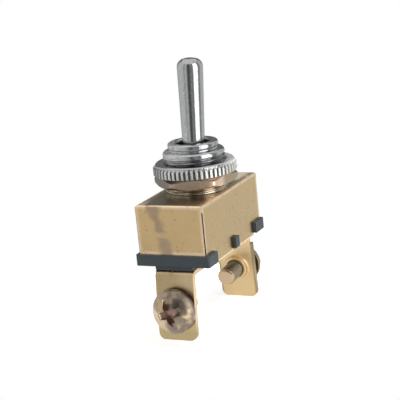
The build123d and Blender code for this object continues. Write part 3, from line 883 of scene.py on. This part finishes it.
def far_shank_end(tree, vector):
    """Pale cut end of the far screw."""
    return product(tree, beyond(tree, vector, "X", 9.7, 9.3), far_leg(tree, vector))


def far_rim_painted_shade(tree, vector):
    """Painted shade on the head of the far screw: darker and yellower."""
    return beyond(tree, vector, "X", 16.0, 16.6)


CHROME = (0.445, 0.45, 0.455)
CHROME_DULL = (0.36, 0.365, 0.37)

BUSHING_FINISH = metal_finish(
    "bright_bushing", CHROME, CHROME_DULL, 0.10, 0.18, hairs=0.3, dent=0.12, bump=0.2,
    zones=[(thread_painted_shade, (0.13, 0.13, 0.13), 0.3),
           (plate_cloud_and_sheen, (0.60, 0.61, 0.60), 0.5),
           (specks(1300.0, 0.56, 0.68, 0.6), (0.20, 0.205, 0.21), 0.25),
           (socket_painted_shade, (0.03, 0.03, 0.03), 0.5),
           (below(1.6, 2.2), (0.52, 0.45, 0.37), 0.17)])
NUT_FINISH = metal_finish(
    "bright_face_nut", CHROME, CHROME_DULL, 0.10, 0.18, hairs=0.3, dent=0.04, bump=0.12,
    zones=[(crown_painted_sheen, (0.80, 0.80, 0.79), 0.5),
           (knurl_band, (0.80, 0.80, 0.77), 0.5),
           (knurl_left_painted_shade, (0.45, 0.45, 0.43), 0.45),
           (tooth_painted_shade, (0.10, 0.10, 0.10), 0.5)])
LEVER_FINISH = metal_finish(
    "bright_lever", CHROME, CHROME_DULL, 0.09, 0.15, hairs=0.3, dent=0.07, bump=0.3,
    zones=[(specks(2100.0, 0.54, 0.66, 0.5), (0.25, 0.255, 0.26), 0.22),
           (specks(1700.0, 0.60, 0.70, 0.4), (0.70, 0.71, 0.71), 0.3),
           (ball_painted_shade, (0.05, 0.05, 0.05), 0.4)])
GOLD_PLATE = metal_finish(
    "yellow_plate", (0.64, 0.47, 0.245), (0.55, 0.405, 0.215), 0.26, 0.34, cover=0.44, size=2.2,
    hairs=0.25, dent=0.14, bump=0.06,
    zones=[(end_face, (0.74, 0.525, 0.27), 0.28),
           (top_face, (0.37, 0.325, 0.235), 0.28),
           (top_painted_highlight, (0.98, 0.88, 0.70), 0.55),
           (folds_worn_and_highlit, (0.90, 0.70, 0.47), 0.3),
           (rub_streak, (0.42, 0.31, 0.21), 0.36),
           (specks(1500.0, 0.66, 0.72, 0.7), (0.34, 0.24, 0.16), 0.45)])
TERMINAL_BRASS = metal_finish(
    "terminal_brass", (0.56, 0.43, 0.235), (0.46, 0.35, 0.205), 0.25, 0.38, cover=0.45, size=2.0,
    dent=0.14, bump=0.08,
    # The whole far leg is a paler copy of the brass: painted light.
    zones=[(far_leg, (0.64, 0.485, 0.265), 0.46),
           (far_upper_painted_light, (0.84, 0.66, 0.40), 0.46),
           (near_side_painted_light, (0.66, 0.51, 0.30), 0.34),
           (near_foot_painted_shade, (0.38, 0.30, 0.155), 0.36),
           (far_edges, (0.30, 0.225, 0.12), 0.34)])
SCREW_PLATE = metal_finish(
    "screw_plate", (0.50, 0.385, 0.25), (0.38, 0.30, 0.21), 0.20, 0.34, cover=0.50, size=2.0,
    dent=0.12, bump=0.2,
    zones=[(near_screw_painted_shade, (0.185, 0.15, 0.12), 0.3),
           (recess_painted_shade, (0.40, 0.27, 0.22), 0.5),
           (far_thread_painted_shade, (0.235, 0.20, 0.14), 0.34),
           (far_shank_end, (0.52, 0.385, 0.25), 0.34),
           (far_rim_painted_shade, (0.31, 0.245, 0.15), 0.36)])
# The pale base colour stays on the front facets, towards -X and -Y; the two zones below paint shade on the
# others.
HEX_BRASS = metal_finish(
    "hex_brass", (0.86, 0.67, 0.50), (0.74, 0.58, 0.43), 0.36, 0.46, cover=0.45, size=1.8, bump=0.1,
    zones=[(hex_right_painted_shade, (0.46, 0.36, 0.25), 0.38),
           (hex_left_painted_shade, (0.185, 0.17, 0.145), 0.42)])
RIVET_BRASS = metal_finish("rivet_brass", (0.50, 0.38, 0.20), (0.40, 0.30, 0.18), 0.28, 0.4)
COPPER = metal_finish("copper_strip", (0.60, 0.36, 0.24), (0.48, 0.28, 0.19), 0.28, 0.42)
STEEL = metal_finish("drawn_steel", (0.50, 0.50, 0.51), (0.36, 0.36, 0.37), 0.26, 0.4)
SILVER = metal_finish("silver_face", (0.80, 0.79, 0.77), (0.62, 0.60, 0.58), 0.2, 0.35)
PHENOLIC = moulded_finish(
    "black_phenolic", (0.032, 0.042, 0.047), (0.056, 0.067, 0.072), 0.45, 2600.0, specular=0.25)
FIBRE = moulded_finish("grey_fibre", (0.22, 0.23, 0.21), (0.30, 0.31, 0.28), 0.72, 3400.0, bump=0.5)
NYLON = moulded_finish("natural_nylon", (0.74, 0.71, 0.62), (0.80, 0.78, 0.72), 0.42, 1800.0, bump=0.1)

FINISH_OF_SLOT = {"chrome": LEVER_FINISH, "plated_brass": GOLD_PLATE, "terminal_brass": TERMINAL_BRASS,
                  "screw_plating": SCREW_PLATE, "brass": HEX_BRASS, "rivet_brass": RIVET_BRASS,
                  "copper_alloy": COPPER, "steel": STEEL, "silver": SILVER, "phenolic": PHENOLIC,
                  "fibre": FIBRE, "nylon": NYLON}

SLOT_OF_NODE = {s["node"]: s["material_slot"] for s in frame["record"]["subparts"]}

for name, obj in frame["nodes"].items():
    obj.data.materials.clear()
    obj.data.materials.append(FINISH_OF_SLOT[SLOT_OF_NODE[name]])


def dress(piece, body, finish, of_node, replaces=True):
    """Give a piece its finish and body; where it replaces a CAD solid, hide that solid."""
    piece.data.materials.append(finish)
    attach(piece, body)
    if replaces:
        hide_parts(of_node)


NEAR_SEAT = (14.02, -19.6, True)
FAR_SEAT = (15.979, -20.45, False)

dress(bushing_piece(), "body", BUSHING_FINISH, "bushing")
dress(knurled_nut_piece(), "body", NUT_FINISH, "knurled_nut")
dress(hex_nut_piece(), "body", HEX_BRASS, "hex_nut")
dress(lever_piece(), "lever", LEVER_FINISH, "lever")
near_strip = strip_piece("near_strip", outer_x=13.6, bottom=25.45, neck_half=LEG_HALF, neck_z=0.0, flip=True)
far_strip = strip_piece("far_strip", outer_x=15.5, bottom=26.9, neck_half=3.25, neck_z=15.3, flip=False)
dress(near_strip, "body", TERMINAL_BRASS, "near_terminal")
dress(far_strip, "body", TERMINAL_BRASS, "far_terminal")
dress(collar_piece("near_collar", NEAR_SEAT), "body", TERMINAL_BRASS, "near_terminal", replaces=False)
dress(collar_piece("far_collar", FAR_SEAT), "body", TERMINAL_BRASS, "far_terminal", replaces=False)
near_screw = screw_piece("near_screw_struck", NEAR_SEAT, backed_off=0.45, reach=5.0)
far_screw = screw_piece("far_screw_struck", FAR_SEAT, backed_off=0.9, reach=6.1)
dress(near_screw, "body", SCREW_PLATE, "near_screw")
dress(far_screw, "body", SCREW_PLATE, "far_screw")


# Floor, light and camera.

FLOOR_Z = -26.98
FLOOR_R = 38.0
SCREEN_R = 300.0
CAMERA_AZ = radians(-64.44)
CAMERA_EL = radians(13.92)
CAMERA_ROLL = radians(-5.659)
CAMERA_RIGHT = 0.543
CAMERA_UP = -2.264
CAMERA_BACK = 238.58
FOCAL_PX = 1251.25
FRAME_PX = 400.0
SENSOR = 36.0
FACING = np.arctan2(-cos(CAMERA_AZ), sin(CAMERA_AZ))


def looked_at(tree):
    """One for what the camera, metal and glass look at, zero for the light that a surface gives."""
    path = tree.nodes.new("ShaderNodeLightPath").outputs
    return largest(tree, path["Is Camera Ray"], path["Is Glossy Ray"], path["Is Transmission Ray"])


def emitter(name):
    """Dull material that will give light of its own."""
    mat, tree, shader = plain_material(name)
    shader["Roughness"].default_value = 0.9
    shader["Specular IOR Level"].default_value = 0.0
    return mat, tree, shader


def floor_finish():
    """Pale floor that the camera, metal and glass see lifted to white, so that its shadow stays."""
    mat, tree, shader = emitter("pale_floor")
    shader["Base Color"].default_value = (0.8, 0.8, 0.8, 1.0)
    shader["Emission Color"].default_value = (1.0, 1.0, 1.0, 1.0)
    rim = zone_masks(tree, object_vector(tree), inner=FLOOR_R - 16, outer=FLOOR_R - 2)["Outside"]
    lift = combine(tree, "ADD", 0.5, product(tree, rim, 0.4))
    link(tree, product(tree, looked_at(tree), lift), shader["Emission Strength"])
    return mat


def floor_piece():
    """Flat disc under the longer leg."""
    n = 96
    a = np.linspace(0, TAU, n, endpoint=False)
    verts = np.stack([FLOOR_R * np.cos(a), FLOOR_R * np.sin(a), np.full(n, FLOOR_Z)], axis=1)
    obj = mesh_piece("floor", verts, np.arange(n), np.array([n]))
    obj.data.materials.append(floor_finish())


def screen_finish(name, plan):
    """Studio screens: brightness by compass angle from the camera, positive to the right."""
    mat, tree, shader = emitter(name)
    full = 3.0
    shader["Base Color"].default_value = (0.0, 0.0, 0.0, 1.0)
    place = split_axes(tree, object_vector(tree))
    parts = []
    for ux, uy in ((-sin(FACING), cos(FACING)), (cos(FACING), sin(FACING))):
        px = product(tree, place["X"], float(ux))
        py = product(tree, place["Y"], float(uy))
        parts.append(combine(tree, "ADD", px, py))
    ring = between(tree, combine(tree, "ARCTAN2", *parts), -pi, pi)
    band = tree.nodes.new("ShaderNodeValToRGB")
    ramp = band.color_ramp
    ramp.interpolation = "LINEAR"
    while len(ramp.elements) < len(plan):
        ramp.elements.new(0.5)
    for e, (angle, value) in zip(ramp.elements, plan):
        e.position = (angle + 180.0) / 360.0
        e.color = (value / full, value / full, value / full, 1.0)
    link(tree, ring, band.inputs["Fac"])
    link(tree, band.outputs["Color"], shader["Emission Color"])
    shader["Emission Strength"].default_value = full
    return mat


def screen_piece(name, a0, a1, z0, z1, plan):
    """Upright curved screen from a0 to a1 degrees round the compass, seen only in reflections."""
    n = 72
    a = FACING + np.radians(np.linspace(a0, a1, n))
    ring = np.stack([SCREEN_R * np.cos(a), SCREEN_R * np.sin(a)], axis=1)
    low = np.column_stack([ring, np.full(n, z0)])
    high = np.column_stack([ring, np.full(n, z1)])
    i = np.arange(n - 1)
    quads = np.stack([i, n + i, n + i + 1, i + 1], axis=1).reshape(-1)
    obj = mesh_piece(name, np.vstack([low, high]), quads, np.full(n - 1, 4))
    obj.data.materials.append(screen_finish(name, plan))
    obj.visible_camera = False


def studio_world():
    """White where the camera, metal or glass look; a plain pale room for the light."""
    world = bpy.data.worlds.new("studio")
    bpy.context.scene.world = world
    world.use_nodes = True
    tree = world.node_tree
    back = tree.nodes["Background"].inputs
    link(tree, blend_colour(tree, looked_at(tree), (0.62, 0.62, 0.62), (1.0, 1.0, 1.0)), back["Color"])
    back["Strength"].default_value = 1.0


def camera():
    """Camera at the photograph's angle: turned to the compass angle and height, then rolled, and
    set back so that the housing has its size in the frame."""
    az, el, roll = CAMERA_AZ, CAMERA_EL, CAMERA_ROLL
    back = np.array([sin(az) * cos(el), -cos(az) * cos(el), sin(el)])
    right = np.cross(-back, [0, 0, 1.0])
    right /= np.linalg.norm(right)
    up = np.cross(right, -back)
    r2 = cos(roll) * right + sin(roll) * up
    u2 = -sin(roll) * right + cos(roll) * up
    eye = CAMERA_RIGHT * r2 + CAMERA_UP * u2 + CAMERA_BACK * back
    data = bpy.data.cameras.new("camera")
    data.sensor_width = SENSOR
    data.lens = SENSOR * FOCAL_PX / FRAME_PX
    data.clip_start = 0.01
    data.clip_end = 10.0
    cam = bpy.data.objects.new("camera", data)
    m = Matrix.Identity(4)
    for i in range(3):
        m[i][0], m[i][1], m[i][2] = r2[i], u2[i], back[i]
    m[0][3], m[1][3], m[2][3] = placed(eye)[0]
    cam.matrix_world = m
    bpy.context.scene.collection.objects.link(cam)
    bpy.context.scene.camera = cam


def lamp(name, place, target, size, power):
    """Round lamp that lights the part but isn't seen in it."""
    data = bpy.data.lights.new(name, "AREA")
    data.shape = "DISK"
    data.size = size / 1000.0
    data.energy = power
    obj = bpy.data.objects.new(name, data)
    here = Vector(placed(place)[0])
    there = Vector(placed(target)[0])
    obj.location = here
    obj.rotation_euler = (there - here).to_track_quat("-Z", "Y").to_euler()
    obj.visible_glossy = False
    bpy.context.scene.collection.objects.link(obj)


floor_piece()
studio_world()
screen_piece("front_screen", -146, 146, -170, 330,
             [(-146, 0.55), (-136, 0.62), (-116, 0.86), (-86, 0.90), (-74, 0.86), (-62, 0.68), (-52, 0.56),
              (-47, 0.62), (-41, 0.86), (-36, 0.72), (-31, 0.45), (-23, 0.16), (-12, 0.11), (-4, 0.22),
              (5, 0.42), (12, 0.36), (25, 0.30), (30, 2.6), (66, 2.6), (72, 0.5), (78, 0.30), (90, 0.50),
              (104, 0.90), (122, 0.72), (146, 0.8)])
screen_piece("low_back_screen", 146, 214, -170, 12, [(-180, 0.8), (180, 0.8)])
screen_piece("high_back_screen", 146, 214, 12, 260, [(-180, 0.2), (180, 0.2)])
lamp("key", (-60, -230, 260), (0, 0, -5), 120, 0.55)
lamp("fill", (-260, 40, 160), (0, 0, -10), 160, 0.22)
camera()

bpy.context.scene.view_settings.view_transform = "Standard"
